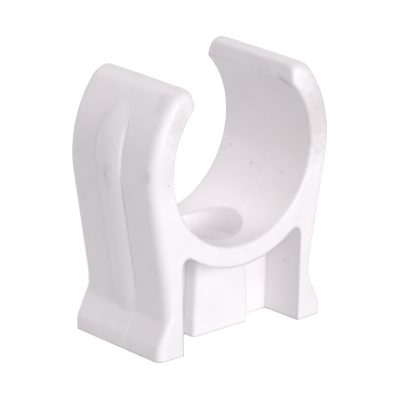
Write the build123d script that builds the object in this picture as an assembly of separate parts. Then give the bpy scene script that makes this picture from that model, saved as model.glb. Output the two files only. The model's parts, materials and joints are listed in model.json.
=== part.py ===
"""Open pipe clip, moulded in one piece.

The pipe snaps in between two springy arms and lies in a saddle.
A screw through the saddle holds the clip on the wall or floor.
X runs across the clip, Y along the pipe and Z up from the face that is screwed down.
The origin is the middle of that face, and the front is towards -Y.
All sizes are in millimetres and all angles in degrees.
"""

import os
from math import acos, cos, degrees, radians, sin, sqrt, tan

from build123d import *

# Pipe seat
PIPE_RADIUS = 10.75
PIPE_HEIGHT = 22.5
CLIP_DEPTH = 15.4

# Arms and their lips
ARM_RADIUS = 14.1
LIP_ANGLE = 45.0
LIP_INNER_ROUND = 0.8
LEAD_IN_LEAN = 8.0
TIP_X = 8.92
TIP_Z = 31.08
TIP_ROUND = 1.4
TIP_SLOPE = 22.0
TIP_LEAN = 30.0
SHOULDER_ROUND = 2.85
RIM_ROUND = 0.4

# Legs and feet
LEG_LEAN = 10.0
WAIST_HALF = 11.55
WAIST_BLEND = 10.0
EDGE_ROUND = 1.4
FOOT_HALF = 13.0
FOOT_HEIGHT = 4.6
FOOT_LAND = 1.6
FOOT_ROUND = 2.0
FOOT_EDGE = 0.8
FOOT_ROOT = 1.7

# Space under the saddle, with the web and the screw pillar left standing in it
SADDLE_RADIUS = 13.3
SPACE_HALF_TOP = 9.4
SPACE_HALF_BASE = 9.1
SPACE_ROUND = 0.9
SPACE_DRAFT = 2.0
WEB_THICK = 4.2
PILLAR_HALF_TOP = 3.9
PILLAR_HALF_BASE = 4.4
PILLAR_DEPTH = 8.1
PILLAR_ROUND = 0.5

# Screw hole: a drafted recess for the head, a countersink and a plain hole
HEAD_RADIUS = 4.45
HEAD_SEAT = 10.1
HEAD_DRAFT = 13.0
SCREW_RADIUS = 2.4

# Stiffening rib down the outside of each arm
RIB_WIDTH = 4.1
RIB_CROWN = 4.5
RIB_RISE = 0.6
RIB_ROOT = 1.4
RIB_BEND = 9.0
RIB_END_ANGLE = 43.0
RIB_SINK = 0.15


def upright(sketch):
    """Stands a sketch drawn in X and Z on the plane through the pipe's axis."""
    return Plane.XZ * sketch


def front_and_back(solid):
    """The solid with its mirror image on the other side of the clip's middle plane."""
    return solid + mirror(solid, Plane.XZ)


def crossing(reach_a, angle_a, reach_b, angle_b):
    """Where two lines cross, each given by its distance from the pipe's axis and the angle of its normal."""
    a, b = radians(angle_a), radians(angle_b)
    x = (reach_a * sin(b) - reach_b * sin(a)) / sin(b - a)
    z = (reach_b * cos(a) - reach_a * cos(b)) / sin(b - a)
    return (x, PIPE_HEIGHT + z)


def side_rims(solid):
    """The edges of a solid's front and back faces that run up its sides."""
    ends = solid.faces().filter_by(Axis.Y).sort_by(Axis.Y)
    edges = ends[0].edges() + ends[-1].edges()
    return [e for e in edges if abs(e.center().X) > WAIST_HALF / 2 and e.center().Z > 0.01]


def envelope():
    """The outside of arms and legs, with edges that are rounded right over the lips."""
    lean = radians(LEG_LEAN)
    spring = (ARM_RADIUS * cos(lean), PIPE_HEIGHT - ARM_RADIUS * sin(lean))
    waist = (WAIST_HALF, PIPE_HEIGHT + (WAIST_HALF * cos(lean) - ARM_RADIUS) / sin(lean))
    slope = radians(TIP_SLOPE)
    top_reach = TIP_X * sin(slope) + (TIP_Z - PIPE_HEIGHT) * cos(slope) + TIP_ROUND
    swing = 90 - TIP_SLOPE - degrees(acos(top_reach / ARM_RADIUS))
    leg = Polyline((0, PIPE_HEIGHT), (0, 0), (WAIST_HALF, 0), waist, spring)
    arm = CenterArc((0, PIPE_HEIGHT), ARM_RADIUS, -LEG_LEAN, swing + LEG_LEAN)
    tip = CenterArc((TIP_X, TIP_Z), TIP_ROUND, 90 - TIP_SLOPE, 90 + TIP_SLOPE - TIP_LEAN)
    top = Line(arm @ 1, tip @ 0)
    inner_x = (tip @ 1).X - ((tip @ 1).Y - PIPE_HEIGHT) * tan(radians(TIP_LEAN))
    inside = Polyline(tip @ 1, (inner_x, PIPE_HEIGHT), (0, PIPE_HEIGHT))
    half = make_face([leg, arm, top, tip, inside])
    for corner, rounding in ((arm @ 1, SHOULDER_ROUND), (waist, WAIST_BLEND)):
        half = fillet(half.vertices().sort_by_distance(corner)[0], rounding)
    solid = extrude(upright(half + mirror(half, Plane.YZ)), CLIP_DEPTH / 2, both=True)
    return fillet(side_rims(solid), EDGE_ROUND)


def foot():
    """The right foot: a wedge with crisper edges whose sloping side runs up into the leg."""
    root_x = WAIST_HALF - FOOT_ROOT
    root_z = FOOT_HEIGHT + FOOT_ROOT * (FOOT_HEIGHT - FOOT_LAND) / (FOOT_HALF - WAIST_HALF)
    toe = (FOOT_HALF, FOOT_LAND)
    side = Polygon((root_x, 0), (FOOT_HALF, 0), toe, (root_x, root_z), align=None)
    side = fillet(side.vertices().sort_by_distance(toe)[0], FOOT_ROUND)
    wedge = extrude(upright(side), CLIP_DEPTH / 2, both=True)
    return fillet([e for e in side_rims(wedge) if e.center().X > root_x + 0.01], FOOT_EDGE)


def rib():
    """The right arm's rib: a crowned bar that runs straight up the leg and bends over until it sinks into the arm."""
    lean = radians(LEG_LEAN)
    end_turn = radians(RIB_END_ANGLE)
    end_reach = ARM_RADIUS - RIB_SINK
    bend = crossing(ARM_RADIUS + RIB_RISE, -LEG_LEAN, end_reach, RIB_END_ANGLE)
    foot = (bend[0] - (bend[1] - FOOT_HEIGHT / 2) * tan(lean), FOOT_HEIGHT / 2)
    end = (end_reach * cos(end_turn), PIPE_HEIGHT + end_reach * sin(end_turn))
    path = upright(FilletPolyline(foot, bend, end, radius=RIB_BEND))
    half = RIB_WIDTH / 2
    drop = RIB_CROWN - sqrt(RIB_CROWN**2 - half**2)
    crown = ThreePointArc((half, -drop), (0, 0), (-half, -drop))
    sides = Polyline((-half, -drop), (-half, -RIB_ROOT), (half, -RIB_ROOT), (half, -drop))
    start = Plane(origin=path @ 0, x_dir=(0, -1, 0), z_dir=path % 0)
    return sweep(start * make_face([crown, sides]), path=path)


def pipe_way():
    """The round seat for the pipe and the way into it between the sloping faces of the two lips."""
    inner_x = PIPE_RADIUS * cos(radians(LIP_ANGLE))
    inner_z = PIPE_HEIGHT + PIPE_RADIUS * sin(radians(LIP_ANGLE))
    top_z = PIPE_HEIGHT + ARM_RADIUS
    top_x = inner_x + (top_z - inner_z) * tan(radians(LEAD_IN_LEAN))
    right = ((inner_x, inner_z), (top_x, top_z))
    left = ((-top_x, top_z), (-inner_x, inner_z))
    way = Pos(0, PIPE_HEIGHT) * Circle(PIPE_RADIUS) + Polygon((0, PIPE_HEIGHT), *right, *left, align=None)
    way = fillet([v for v in way.vertices() if abs(v.Y - inner_z) < 0.01], LIP_INNER_ROUND)
    return extrude(upright(way), CLIP_DEPTH, both=True)


def pillar():
    """The block that carries the screw, wider towards its foot."""
    top_z = PIPE_HEIGHT - PIPE_RADIUS
    base = ((-PILLAR_HALF_BASE, -1), (PILLAR_HALF_BASE, -1))
    top = ((PILLAR_HALF_TOP, top_z), (-PILLAR_HALF_TOP, top_z))
    block = extrude(upright(Polygon(*base, *top, align=None)), PILLAR_DEPTH / 2, both=True)
    corners = [e for e in block.edges() if abs(e.center().X) > 1 and abs(e.center().Y) > 1]
    return fillet(corners, PILLAR_ROUND)


def front_space():
    """The space in front of the web, between the legs and under the saddle."""
    corner_z = PIPE_HEIGHT - sqrt(SADDLE_RADIUS**2 - SPACE_HALF_TOP**2)
    right, left = (SPACE_HALF_TOP, corner_z), (-SPACE_HALF_TOP, corner_z)
    arch = ThreePointArc(right, (0, PIPE_HEIGHT - SADDLE_RADIUS), left)
    sides = Polyline(left, (-SPACE_HALF_BASE, -1), (SPACE_HALF_BASE, -1), right)
    opening = make_face([arch, sides])
    opening = fillet([v for v in opening.vertices() if v.Y > 1], SPACE_ROUND)
    depth = (CLIP_DEPTH - WEB_THICK) / 2
    return extrude(Plane.XZ.offset(CLIP_DEPTH / 2) * opening, -depth, taper=SPACE_DRAFT)


def screw_way():
    """The recess for the screw's head, the countersink below it and the hole down through the pillar."""
    sink_z = HEAD_SEAT - (HEAD_RADIUS - SCREW_RADIUS)
    rim_radius = HEAD_RADIUS + (PIPE_HEIGHT - HEAD_SEAT) * tan(radians(HEAD_DRAFT))
    hole = ((0, -1), (SCREW_RADIUS, -1), (SCREW_RADIUS, sink_z))
    head = ((HEAD_RADIUS, HEAD_SEAT), (rim_radius, PIPE_HEIGHT), (0, PIPE_HEIGHT))
    return revolve(upright(Polygon(*hole, *head, align=None)), Axis.Z)


def is_inner_rim(edge):
    """Whether an edge of the front or back face borders the bore or a lip's sloping face."""
    middle = edge @ 0.5
    return Vector(middle.X, middle.Z - PIPE_HEIGHT).length < PIPE_RADIUS + 0.01


def pipe_clip():
    """The whole clip as one solid."""
    clip = envelope()
    for piece in (foot(), rib()):
        clip = clip + piece + mirror(piece, Plane.YZ)
    clip = clip - pipe_way() - front_and_back(front_space() - pillar()) - screw_way()
    ends = clip.faces().filter_by(Axis.Y).sort_by(Axis.Y)
    rims = [e for e in ends[0].edges() + ends[-1].edges() if is_inner_rim(e)]
    return fillet(rims, RIM_ROUND)


if __name__ == "__main__":
    os.makedirs("parts", exist_ok=True)
    export_step(pipe_clip(), "parts/pipe_clip.step")
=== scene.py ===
"""White plastic finish and studio stage for the one-piece pipe clip.

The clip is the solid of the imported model. It stays as it is and gets its moulded finish here.
X runs across the clip, Y along the pipe and Z up.
Blender works in metres. Marks and lines on the plastic are given in millimetres.
"""

import json
from math import cos, radians, sin

import bpy
from bpy.props import FloatProperty, FloatVectorProperty, PointerProperty
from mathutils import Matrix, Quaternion, Vector

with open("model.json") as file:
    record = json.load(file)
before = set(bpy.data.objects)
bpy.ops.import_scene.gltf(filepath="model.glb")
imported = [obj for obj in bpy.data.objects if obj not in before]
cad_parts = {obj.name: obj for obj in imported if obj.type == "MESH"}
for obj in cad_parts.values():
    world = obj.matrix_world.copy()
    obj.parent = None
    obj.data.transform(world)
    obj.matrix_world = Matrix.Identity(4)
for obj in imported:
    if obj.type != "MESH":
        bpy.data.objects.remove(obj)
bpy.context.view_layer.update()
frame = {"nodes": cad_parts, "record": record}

bl_info = {
    "name": "Pipe clip finish",
    "version": (1, 0, 0),
    "blender": (4, 5, 0),
    "location": "3D View > Sidebar > Pipe clip",
    "description": "Moulded white plastic for a pipe clip, and the stage it stands on",
    "category": "Object",
}

MM = 0.001
CLIP_NODE = "pipe_clip"
SLOT = "white_plastic"

# Where the pipe lies, from the record's own mounts, in millimetres.
PIPE_SEAT = next(m for m in frame["record"]["mounts"] if m["name"] == "pipe_seat")
SEAT_HEIGHT = PIPE_SEAT["pos_m"][2] / MM
SEAT_RADIUS = PIPE_SEAT["dims"]["r_mm"]


class ClipFinish(bpy.types.PropertyGroup):
    """Colours and surface of the moulded plastic."""

    body: FloatVectorProperty(
        name="Body", description="Colour of the clean plastic",
        subtype="COLOR", size=3, min=0, max=1, default=(0.88, 0.86, 0.872),
    )
    flow: FloatVectorProperty(
        name="Flow", description="Colour of the paler clouds that the melt left as it flowed",
        subtype="COLOR", size=3, min=0, max=1, default=(0.9, 0.885, 0.894),
    )
    # Grime also paints shade: broad patches of it darken the upper fronts of the arms.
    grime_and_shade: FloatVectorProperty(
        name="Grime", description="Colour of specks, smudges and hairlines",
        subtype="COLOR", size=3, min=0, max=1, default=(0.4, 0.36, 0.372),
    )
    # The line colour also paints a highlight: the pale line down the feet where a small step
    # catches the light.
    line: FloatVectorProperty(
        name="Line", description="Colour of the fine lines that the mould left",
        subtype="COLOR", size=3, min=0, max=1, default=(0.96, 0.93, 0.95),
    )
    roughness: FloatProperty(
        name="Roughness", description="Middle roughness of the satin skin",
        subtype="FACTOR", min=0, max=1, default=0.4,
    )
    roughness_change: FloatProperty(
        name="Roughness change", description="How far the roughness swings between clouds",
        subtype="FACTOR", min=0, max=1, default=0.1,
    )
    grain_size: FloatProperty(
        name="Grain size", description="Size of the fine grain of the mould's surface",
        unit="LENGTH", min=0.00005, default=0.00025,
    )
    cloud_size: FloatProperty(
        name="Cloud size", description="Size of the flow clouds",
        unit="LENGTH", min=0.0005, default=0.0035,
    )
    grain_depth: FloatProperty(
        name="Grain depth", description="Depth of the grain",
        unit="LENGTH", min=0, default=0.000004,
    )
    line_width: FloatProperty(
        name="Witness line width", description="Width of the line that the mould's halves left",
        unit="LENGTH", min=0, default=0.00022,
    )
    line_height: FloatProperty(
        name="Witness line height", description="How far that line stands proud",
        unit="LENGTH", min=0, default=0.00002,
    )
    edge_softness: FloatProperty(
        name="Edge softness", description="How far the shading rounds an edge left crisp",
        unit="LENGTH", min=0, default=0.0006,
    )


class ClipStage(bpy.types.PropertyGroup):
    """Floor, light and camera."""

    floor_size: FloatProperty(
        name="Floor size", description="Width of the floor",
        unit="LENGTH", min=0.1, default=6.0,
    )
    floor_colour: FloatVectorProperty(
        name="Floor", description="Colour of the floor as it lights the clip",
        subtype="COLOR", size=3, min=0, max=1, default=(0.9, 0.9, 0.9),
    )
    floor_glow: FloatProperty(
        name="Floor glow", description="Brightness that the floor shows even in full shadow",
        min=0, default=0.77,
    )
    floor_shade: FloatProperty(
        name="Floor shade", description="Share of the lamps' light that the floor shows",
        subtype="FACTOR", min=0, max=1, default=0.42,
    )
    surroundings: FloatProperty(
        name="Surroundings", description="Brightness of the surroundings that light the clip",
        min=0, default=0.06,
    )
    fill_colour: FloatVectorProperty(
        name="Fill", description="Colour of the surroundings and of every lamp but the key",
        subtype="COLOR", size=3, min=0, max=1, default=(1.0, 0.952, 0.977),
    )
    lamp_distance: FloatProperty(
        name="Lamp distance", description="Distance from the clip to each lamp",
        unit="LENGTH", min=0.1, default=0.9,
    )
    lamp_level: FloatProperty(
        name="Lamp level", description="Share of their full power that all lamps give",
        subtype="FACTOR", min=0, default=1.0,
    )
    view_turn: FloatProperty(
        name="View turn", description="Angle of the camera from straight in front, to the right",
        unit="ROTATION", default=radians(-41.863),
    )
    view_rise: FloatProperty(
        name="View rise", description="Angle of the camera above the floor",
        unit="ROTATION", default=radians(19.113),
    )
    view_roll: FloatProperty(
        name="View roll", description="Turn of the camera about its own line of sight",
        unit="ROTATION", default=radians(0.709),
    )
    view_distance: FloatProperty(
        name="View distance", description="Distance from the camera to the point it looks at",
        unit="LENGTH", min=0.05, default=0.39727,
    )
    view_height: FloatProperty(
        name="View height", description="Height of the point the camera looks at",
        unit="LENGTH", default=0.015297,
    )
    view_lens: FloatProperty(
        name="Lens", description="Focal length of the camera in millimetres",
        min=1, default=300.6,
    )


# Node helpers

# Numbers of the sockets for colours on a mix node, which share their names with others.
MIX_FACTOR, MIX_A, MIX_B, MIX_RESULT = 0, 6, 7, 2

# The middle of a noise or cloud value.
MIDDLE = 0.5


def place(tree, kind, inputs=None, **choices):
    """Adds a node, makes its own choices, and fills its inputs with values or links."""
    node = tree.nodes.new("ShaderNode" + kind)
    for name, choice in choices.items():
        setattr(node, name, choice)
    for name, value in (inputs or {}).items():
        if isinstance(value, bpy.types.NodeSocket):
            tree.links.new(value, node.inputs[name])
        else:
            node.inputs[name].default_value = value
    return node


def maths(tree, operation, a, b=0.0, clamp=False):
    """One step of arithmetic."""
    return place(tree, "Math", {0: a, 1: b}, operation=operation, use_clamp=clamp).outputs[0]


def vector_maths(tree, operation, a, b):
    """One step of arithmetic on vectors, with a vector for its result."""
    return place(tree, "VectorMath", {0: a, 1: b}, operation=operation).outputs["Vector"]


def length(tree, vector):
    """The length of a vector."""
    return place(tree, "VectorMath", {0: vector}, operation="LENGTH").outputs["Value"]


def ramp(tree, value, low, high):
    """A smooth step from 0 at low to 1 at high."""
    inputs = {"Value": value, "From Min": low, "From Max": high}
    return place(tree, "MapRange", inputs, interpolation_type="SMOOTHSTEP").outputs["Result"]


def noise(tree, where, scale, detail):
    """A noise value between 0 and 1."""
    inputs = {"Vector": where, "Scale": scale, "Detail": detail}
    return place(tree, "TexNoise", inputs).outputs["Fac"]


def rgba(colour):
    """A colour with full alpha, as sockets take it."""
    return (*colour, 1)


def blend(tree, mask, strength, colour, other):
    """A colour that gives way to another one, as far as the strength, where the mask is 1."""
    start = colour if isinstance(colour, bpy.types.NodeSocket) else rgba(colour)
    share = maths(tree, "MULTIPLY", mask, strength)
    inputs = {MIX_FACTOR: share, MIX_A: start, MIX_B: rgba(other)}
    return place(tree, "Mix", inputs, data_type="RGBA").outputs[MIX_RESULT]


def new_group(name, inputs, outputs):
    """An empty shader node group with its named sockets, and the nodes that hold them."""
    group = bpy.data.node_groups.new(name, "ShaderNodeTree")
    for socket, kind in inputs.items():
        group.interface.new_socket(name=socket, in_out="INPUT", socket_type="NodeSocket" + kind)
    for socket in outputs:
        group.interface.new_socket(name=socket, in_out="OUTPUT", socket_type="NodeSocketFloat")
    given = group.nodes.new("NodeGroupInput").outputs
    result = group.nodes.new("NodeGroupOutput").inputs
    return group, given, result


def put_group(tree, group, inputs):
    """Places a node group and fills its inputs."""
    return place(tree, "Group", inputs, node_tree=group).outputs


def new_tree(owner):
    """The emptied node tree of a new material or world."""
    owner.use_nodes = True
    owner.node_tree.nodes.clear()
    return owner.node_tree


# Effects

# Fineness of the noise in the grain, the clouds and the edges of marks,
# and the noise values at which a cloud begins and is full.
GRAIN_DETAIL = 3.0
CLOUD_DETAIL = 2.0
MARK_DETAIL = 2.0
CLOUD_RANGE = (0.35, 0.7)

# How a witness line and the painted highlight line down the feet stray, fade and end: lengths in
# millimetres, waves per millimetre.
LINE_DETAIL = 1.0
STRAY = 0.3
STRAY_WAVES = 0.35
FADE_WAVES = 0.6
FADE_RANGE = (0.2, 0.55)
LINE_END = 0.6
LINE_CORE = 0.2


def mould_skin():
    """Fine grain of the mould and the broad clouds of the melt."""
    tree, given, result = new_group(
        "Mould skin",
        {"Place": "Vector", "Grain": "Float", "Cloud": "Float"},
        ("Grain", "Cloud"),
    )
    fine = noise(tree, given["Place"], maths(tree, "DIVIDE", 1.0, given["Grain"]), GRAIN_DETAIL)
    broad = noise(tree, given["Place"], maths(tree, "DIVIDE", 1.0, given["Cloud"]), CLOUD_DETAIL)
    tree.links.new(fine, result["Grain"])
    tree.links.new(ramp(tree, broad, *CLOUD_RANGE), result["Cloud"])
    return tree


def round_mark():
    """A spot with a ragged edge: a speck, a smudge, a patch of painted shade or, stretched, a
    hairline.
    """
    tree, given, result = new_group(
        "Round mark",
        {
            "Place": "Vector", "Centre": "Vector", "Stretch": "Vector",
            "Radius": "Float", "Lumps": "Float", "Ragged": "Float",
        },
        ("Mask",),
    )
    away = vector_maths(tree, "SUBTRACT", given["Place"], given["Centre"])
    away = vector_maths(tree, "DIVIDE", away, given["Stretch"])
    share = maths(tree, "DIVIDE", length(tree, away), given["Radius"])
    lumps = noise(tree, given["Place"], given["Lumps"], MARK_DETAIL)
    lumps = maths(tree, "SUBTRACT", lumps, MIDDLE)
    edge = maths(tree, "ADD", share, maths(tree, "MULTIPLY", lumps, given["Ragged"]))
    tree.links.new(ramp(tree, edge, 1.0, 0.0), result["Mask"])
    return tree


def witness_and_highlight_line():
    """A thin line at a place along Y that drifts with the height: a line that the mould left, and
    also the painted highlight down the feet.
    """
    tree, given, result = new_group(
        "Witness line",
        {
            "Place": "Vector", "Offset": "Float", "Lean": "Float", "Level": "Float",
            "Width": "Float", "Lowest": "Float", "Highest": "Float",
        },
        ("Mask",),
    )
    parts = place(tree, "SeparateXYZ", {0: given["Place"]}).outputs
    rise = maths(tree, "SUBTRACT", parts["Z"], given["Level"])
    drift = maths(tree, "MULTIPLY", rise, given["Lean"])
    middle = maths(tree, "ADD", given["Offset"], drift)
    stray = noise(tree, given["Place"], STRAY_WAVES, LINE_DETAIL)
    stray = maths(tree, "MULTIPLY", maths(tree, "SUBTRACT", stray, MIDDLE), STRAY)
    off = maths(tree, "SUBTRACT", maths(tree, "SUBTRACT", parts["Y"], middle), stray)
    share = maths(tree, "DIVIDE", maths(tree, "ABSOLUTE", off), given["Width"])
    faint = ramp(tree, noise(tree, given["Place"], FADE_WAVES, LINE_DETAIL), *FADE_RANGE)
    over_low = maths(tree, "SUBTRACT", parts["Z"], given["Lowest"])
    under_high = maths(tree, "SUBTRACT", given["Highest"], parts["Z"])
    from_low = ramp(tree, over_low, 0.0, LINE_END)
    to_high = ramp(tree, under_high, 0.0, LINE_END)
    run = maths(tree, "MULTIPLY", from_low, to_high)
    mask = maths(tree, "MULTIPLY", ramp(tree, share, 1.0, LINE_CORE), faint)
    tree.links.new(maths(tree, "MULTIPLY", mask, run), result["Mask"])
    return tree


# Finish

# Witness lines, and the painted highlight down the feet, in millimetres: place along Y at a level,
# drift with the height, and both ends.
BORE_LINE = {"Offset": -0.4, "Lean": 0.1, "Level": SEAT_HEIGHT, "Lowest": 12.0, "Highest": 31.0}
FOOT_HIGHLIGHT = {"Offset": -1.5, "Lean": 0.0, "Level": 0.0, "Lowest": -1.0, "Highest": 5.2}
CROWN_LINE = {"Offset": -0.3, "Lean": 0.55, "Level": 31.4, "Lowest": 30.2, "Highest": 33.0}

# Their strengths, and the widths of two of them against that of the bore's line.
BORE_LINE_STRENGTH = 0.55
FOOT_HIGHLIGHT_STRENGTH = 0.6
CROWN_LINE_STRENGTH = 0.07
FOOT_HIGHLIGHT_WIDENING = 1.6
CROWN_LINE_WIDENING = 0.8

# The bore's line fades out between these distances from the pipe's axis,
# and the crown's line fades in between these places along X, on the left arm only.
BORE_LINE_REACH = (SEAT_RADIUS + 0.6, SEAT_RADIUS + 0.2)
CROWN_LINE_SIDE = (-8.0, -9.0)

# Marks of use, and among the smudges some patches of painted shade, in millimetres: centre, stretch
# along X, Y and Z, radius, and strength.
SPECKS = (
    ((10.07, 5.72, 18.75), (1, 1, 1), 0.24, 0.6),
    ((9.52, 1.49, 17.52), (1, 1, 1), 0.28, 0.6),
    ((9.64, -3.88, 17.74), (1, 1, 1), 0.24, 0.6),
    ((-11.7, -7.7, 21.64), (1, 1, 1), 0.2, 0.6),
    ((-11.88, 1.39, 7.09), (1, 1, 1), 0.24, 0.5),
    ((9.18, -5.2, 7.0), (1, 1, 1), 0.24, 0.5),
    ((-14.19, -1.44, 19.68), (1, 1, 1), 0.28, 0.22),
    ((-14.08, 5.84, 23.16), (1, 1, 1), 0.24, 0.18),
    ((7.68, -3.36, 30.63), (1, 1, 1), 0.26, 0.25),
    ((7.99, -1.48, 29.7), (1, 1.6, 1), 0.34, 0.28),
)
SMUDGES_AND_SHADE = (
    # On the outside of the left arm
    ((-14.8, 0.0, 21.85), (1, 0.5, 1.0), 0.75, 0.32),
    ((-14.85, -0.5, 22.6), (1, 0.8, 1.1), 1.0, 0.12),
    ((-14.6, -0.2, 20.5), (1, 0.8, 1.2), 1.1, 0.1),
    ((-14.43, 1.6, 21.6), (1, 0.9, 1.1), 1.0, 0.17),
    ((-14.7, 0.5, 21.6), (1, 1, 1.1), 2.2, 0.06),
    ((-13.86, 3.46, 19.9), (1, 1, 1.3), 1.4, 0.05),
    ((-13.4, 5.3, 17.2), (1, 1, 1.3), 1.0, 0.07),
    ((-14.01, -6.72, 22.8), (1, 0.6, 1.3), 0.85, 0.22),
    ((-14.05, -6.0, 22.3), (1, 1, 1), 1.5, 0.05),
    ((-13.7, -6.4, 19.3), (1, 0.8, 1.3), 1.0, 0.08),
    # On the right lip
    ((7.65, -5.3, 30.3), (1, 1, 0.8), 0.8, 0.22),
    ((7.7, -5.85, 30.05), (1, 1, 0.9), 0.95, 0.3),
    ((8.05, -6.4, 29.5), (1, 0.9, 1.1), 0.95, 0.24),
    # On the front of both arms: broad grey patches, partly mottled grime and partly painted shade
    # that darkens the upper fronts of the arms against the legs below
    ((11.6, -7.7, 25.5), (0.8, 0.12, 1.1), 7.0, 0.36),
    ((-12.0, -7.7, 23.0), (0.6, 0.12, 1), 4.5, 0.12),
    ((-10.0, -7.7, 28.4), (0.8, 0.12, 1.1), 4.5, 0.27),
    # Near the front edge of the left arm's top
    ((-10.65, -5.5, 31.69), (1, 1.2, 1), 1.0, 0.14),
    ((-11.6, -5.8, 30.3), (1, 1, 1.5), 1.2, 0.1),
    # On the front of the right arm and the saddle
    ((11.9, -7.7, 21.0), (1, 0.5, 1.1), 0.9, 0.12),
    ((-6.36, -7.7, 13.22), (1.2, 0.5, 1), 0.6, 0.12),
    ((0.62, -7.7, 11.1), (1.2, 0.5, 0.8), 0.55, 0.12),
    ((8.8, -7.7, 13.25), (1, 0.5, 1.1), 0.6, 0.12),
)
# Hairlines where the pipe has rubbed on its way in.
HAIRLINES = (
    ((7.78, -0.1, 31.2), (1, 0.2, 1.0), 0.8, 0.13),
    ((7.74, -0.65, 30.8), (1, 0.18, 1.3), 0.8, 0.17),
    ((7.76, -1.2, 31.0), (1, 0.16, 1.1), 0.9, 0.14),
    ((7.72, -1.75, 30.6), (1, 0.2, 0.9), 0.8, 0.18),
    ((7.76, -2.3, 31.0), (1, 0.16, 1.2), 0.8, 0.12),
    ((7.72, -3.0, 30.8), (1, 0.2, 1.0), 0.7, 0.16),
)

# Each kind of mark with the lumps per millimetre of its edge, and how ragged all the edges are.
MARKS = ((SPECKS, 6.0), (SMUDGES_AND_SHADE, 1.3), (HAIRLINES, 2.0))
RAGGED = 0.9

# Rays that the shading spends on softening the edges.
SOFTENING_SAMPLES = 6


def bore_line(tree, group, spot, width):
    """The mask of the line round the inside of the pipe's seat."""
    mask = put_group(tree, group, {"Place": spot, "Width": width, **BORE_LINE})["Mask"]
    across = vector_maths(tree, "SUBTRACT", spot, (0, 0, SEAT_HEIGHT))
    across = vector_maths(tree, "MULTIPLY", across, (1, 0, 1))
    inside = ramp(tree, length(tree, across), *BORE_LINE_REACH)
    return maths(tree, "MULTIPLY", mask, inside)


def foot_highlight(tree, group, spot, width):
    """The mask of the painted highlight down the feet, where a small step catches the light."""
    inputs = {"Place": spot, "Width": FOOT_HIGHLIGHT_WIDENING * width, **FOOT_HIGHLIGHT}
    return put_group(tree, group, inputs)["Mask"]


def crown_line(tree, group, spot, width):
    """The mask of the line over the top of the left arm."""
    inputs = {"Place": spot, "Width": CROWN_LINE_WIDENING * width, **CROWN_LINE}
    mask = put_group(tree, group, inputs)["Mask"]
    side = place(tree, "SeparateXYZ", {0: spot}).outputs["X"]
    return maths(tree, "MULTIPLY", mask, ramp(tree, side, *CROWN_LINE_SIDE))


def marks_and_painted_shade(tree, spot, colour, grime_and_shade):
    """The colour with all specks, smudges and hairlines on it, and the painted shade on the upper
    fronts of the arms.
    """
    group = round_mark()
    for marks, lumps in MARKS:
        for centre, stretch, radius, strength in marks:
            inputs = {
                "Place": spot, "Centre": centre, "Stretch": stretch,
                "Radius": radius, "Lumps": lumps, "Ragged": RAGGED,
            }
            mask = put_group(tree, group, inputs)["Mask"]
            colour = blend(tree, mask, strength, colour, grime_and_shade)
    return colour


def moulded_white(finish):
    """The satin white plastic, with its flow clouds, witness lines, small marks of use, a painted
    highlight down the feet and painted shade on the upper fronts of the arms.
    """
    material = bpy.data.materials.new("moulded_white")
    tree = new_tree(material)
    where = place(tree, "TexCoord").outputs["Object"]
    spot = vector_maths(tree, "MULTIPLY", where, (1 / MM, 1 / MM, 1 / MM))
    sizes = {"Grain": finish.grain_size / MM, "Cloud": finish.cloud_size / MM}
    skin = put_group(tree, mould_skin(), {"Place": spot, **sizes})

    lines = witness_and_highlight_line()
    width = finish.line_width / MM
    bore = bore_line(tree, lines, spot, width)
    foot_highlight_mask = foot_highlight(tree, lines, spot, width)
    crown = crown_line(tree, lines, spot, width)
    colour = blend(tree, skin["Cloud"], 1.0, finish.body, finish.flow)
    colour = blend(tree, bore, BORE_LINE_STRENGTH, colour, finish.line)
    # Painted highlight: a pale line down the feet where a small step catches the light.
    colour = blend(tree, foot_highlight_mask, FOOT_HIGHLIGHT_STRENGTH, colour, finish.line)
    colour = blend(tree, crown, CROWN_LINE_STRENGTH, colour, finish.grime_and_shade)
    # Specks, smudges and hairlines, and painted shade on the upper fronts of the arms.
    colour = marks_and_painted_shade(tree, spot, colour, finish.grime_and_shade)

    swing = maths(tree, "SUBTRACT", skin["Cloud"], MIDDLE)
    swing = maths(tree, "MULTIPLY", swing, finish.roughness_change)
    rough = maths(tree, "ADD", swing, finish.roughness, clamp=True)

    # Heights are in metres, so the bump's distance is 1.
    grain = maths(tree, "MULTIPLY", skin["Grain"], finish.grain_depth)
    height = maths(tree, "ADD", grain, maths(tree, "MULTIPLY", bore, finish.line_height))
    softened = place(tree, "Bevel", {"Radius": finish.edge_softness}, samples=SOFTENING_SAMPLES)
    inputs = {"Strength": 1.0, "Distance": 1.0, "Height": height, "Normal": softened.outputs[0]}
    bump = place(tree, "Bump", inputs).outputs["Normal"]
    inputs = {"Base Color": colour, "Roughness": rough, "Normal": bump}
    shader = place(tree, "BsdfPrincipled", inputs)
    place(tree, "OutputMaterial", {"Surface": shader.outputs[0]})
    return material


# Stage

# Soft round lamps: turn from straight in front, to the right, and rise above the floor in degrees,
# width in metres and power in watts.
KEY_LAMP = "key"
LAMPS = {
    KEY_LAMP: (1.5, 15, 0.5, 3.7),
    "front_right": (35, 20, 0.6, 0.4),
    "front_left": (-32, 22, 0.7, 2.75),
    "top": (0, 68, 0.9, 0.75),
    "top_back": (180, 50, 0.7, 2.7),
    "back_left": (-142, 23, 0.7, 1.6),
    "back_right": (125, 28, 0.7, 0.85),
}

# The floor lies a hair below the clip, so that their faces stay apart.
FLOOR_DROP = 0.02 * MM

# The camera's sensor in millimetres, and the nearest thing it sees in metres.
SENSOR_WIDTH = 36
NEAREST = 0.01

WHITE = (1, 1, 1)


def seen_rays(tree):
    """1 for rays that show the backdrop: from the camera, in a gloss or through something clear."""
    path = place(tree, "LightPath").outputs
    seen = maths(tree, "MAXIMUM", path["Is Camera Ray"], path["Is Glossy Ray"])
    return maths(tree, "MAXIMUM", seen, path["Is Transmission Ray"])


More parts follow.
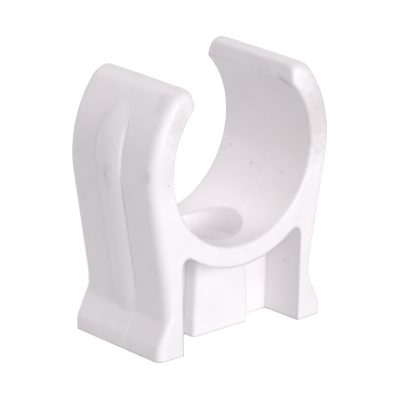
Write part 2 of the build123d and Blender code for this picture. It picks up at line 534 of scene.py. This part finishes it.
def pale_floor(stage):
    """A pale floor that shows white where it is lit and keeps a soft shadow."""
    material = bpy.data.materials.new("pale_floor")
    tree = new_tree(material)
    lit = place(tree, "BsdfDiffuse", {"Color": rgba(stage.floor_colour)}).outputs[0]
    glow = {"Color": rgba(WHITE), "Strength": stage.floor_glow}
    base = place(tree, "Emission", glow).outputs[0]
    grey = rgba([stage.floor_shade] * 3)
    shade = place(tree, "BsdfDiffuse", {"Color": grey}).outputs[0]
    shown = place(tree, "AddShader", {0: base, 1: shade}).outputs[0]
    surface = place(tree, "MixShader", {0: seen_rays(tree), 1: lit, 2: shown}).outputs[0]
    place(tree, "OutputMaterial", {"Surface": surface})
    return material


def white_world(stage):
    """White surroundings: even soft light on the clip, and plain white behind it."""
    world = bpy.data.worlds.new("white_surroundings")
    tree = new_tree(world)
    soft = {"Color": rgba(stage.fill_colour), "Strength": stage.surroundings}
    light = place(tree, "Background", soft).outputs[0]
    back = place(tree, "Background", {"Color": rgba(WHITE), "Strength": 1.0}).outputs[0]
    surface = place(tree, "MixShader", {0: seen_rays(tree), 1: light, 2: back}).outputs[0]
    place(tree, "OutputWorld", {"Surface": surface})
    return world


def direction(turn, rise):
    """The way from the clip to a place at a turn from straight in front and a rise."""
    return Vector((sin(turn) * cos(rise), -cos(turn) * cos(rise), sin(rise)))


def point_at(thing, where, target, roll=0.0):
    """Puts a lamp or camera at a place, looking at a target."""
    thing.location = where
    thing.rotation_mode = "QUATERNION"
    aim = (target - where).to_track_quat("-Z", "Y")
    thing.rotation_quaternion = aim @ Quaternion((0, 0, 1), roll)
    bpy.context.scene.collection.objects.link(thing)


def make_floor(stage):
    """A flat square floor under the clip."""
    half = stage.floor_size / 2
    corners = [(-half, -half, 0), (half, -half, 0), (half, half, 0), (-half, half, 0)]
    sheet = bpy.data.meshes.new("floor")
    sheet.from_pydata(corners, [], [(0, 1, 2, 3)])
    sheet.materials.append(pale_floor(stage))
    floor = bpy.data.objects.new("floor", sheet)
    floor.location.z = -FLOOR_DROP
    bpy.context.scene.collection.objects.link(floor)
    return floor


def make_lamps(stage, target):
    """All the lamps, at one distance round the target."""
    for name, (turn, rise, size, power) in LAMPS.items():
        light = bpy.data.lights.new(name, "AREA")
        light.shape = "DISK"
        light.size = size
        light.energy = power * stage.lamp_level
        if name != KEY_LAMP:
            light.color = stage.fill_colour
        lamp = bpy.data.objects.new(name, light)
        way = direction(radians(turn), radians(rise))
        point_at(lamp, target + stage.lamp_distance * way, target)


def make_camera(stage, target):
    """The camera, looking at the target."""
    lens = bpy.data.cameras.new("camera")
    lens.sensor_width = SENSOR_WIDTH
    lens.lens = stage.view_lens
    lens.clip_start = NEAREST
    camera = bpy.data.objects.new("camera", lens)
    eye = target + stage.view_distance * direction(stage.view_turn, stage.view_rise)
    point_at(camera, eye, target, stage.view_roll)
    return camera


# Operators


class DressClip(bpy.types.Operator):
    """Gives the clip its moulded white plastic."""

    bl_idname = "pipe_clip.dress"
    bl_label = "Dress the clip"

    def execute(self, context):
        clip = frame["nodes"][CLIP_NODE]
        slots = [m.name for m in clip.data.materials]
        if slots != [SLOT]:
            raise RuntimeError(f"the clip should have the one slot {SLOT}, not {slots}")
        clip.data.materials[0] = moulded_white(context.scene.clip_finish)
        return {"FINISHED"}


class SetStage(bpy.types.Operator):
    """Makes the floor, the light and the camera."""

    bl_idname = "pipe_clip.stage"
    bl_label = "Set the stage"

    def execute(self, context):
        stage = context.scene.clip_stage
        floor = make_floor(stage)
        context.scene.world = white_world(stage)
        target = Vector((0, 0, stage.view_height))
        make_lamps(stage, target)
        context.scene.camera = make_camera(stage, target)
        context.scene.view_settings.view_transform = "Standard"
        return {"FINISHED"}


class ClipPanel(bpy.types.Panel):
    """Lists the clip's operators and their values."""

    bl_idname = "VIEW3D_PT_pipe_clip"
    bl_label = "Pipe clip"
    bl_space_type = "VIEW_3D"
    bl_region_type = "UI"
    bl_category = "Pipe clip"

    def draw(self, context):
        scene = context.scene
        for operator, values in ((DressClip, scene.clip_finish), (SetStage, scene.clip_stage)):
            box = self.layout.box()
            box.operator(operator.bl_idname)
            for name in values.bl_rna.properties.keys():
                if name not in ("rna_type", "name"):
                    box.prop(values, name)


CLASSES = (ClipFinish, ClipStage, DressClip, SetStage, ClipPanel)


def register():
    """Makes the classes and the scene's values known to Blender."""
    for cls in CLASSES:
        bpy.utils.register_class(cls)
    bpy.types.Scene.clip_finish = PointerProperty(type=ClipFinish)
    bpy.types.Scene.clip_stage = PointerProperty(type=ClipStage)


def unregister():
    """Takes them back."""
    del bpy.types.Scene.clip_stage
    del bpy.types.Scene.clip_finish
    for cls in reversed(CLASSES):
        bpy.utils.unregister_class(cls)


def main():
    """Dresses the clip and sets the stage."""
    register()
    bpy.ops.pipe_clip.dress()
    bpy.ops.pipe_clip.stage()


if __name__ == "__main__":
    main()
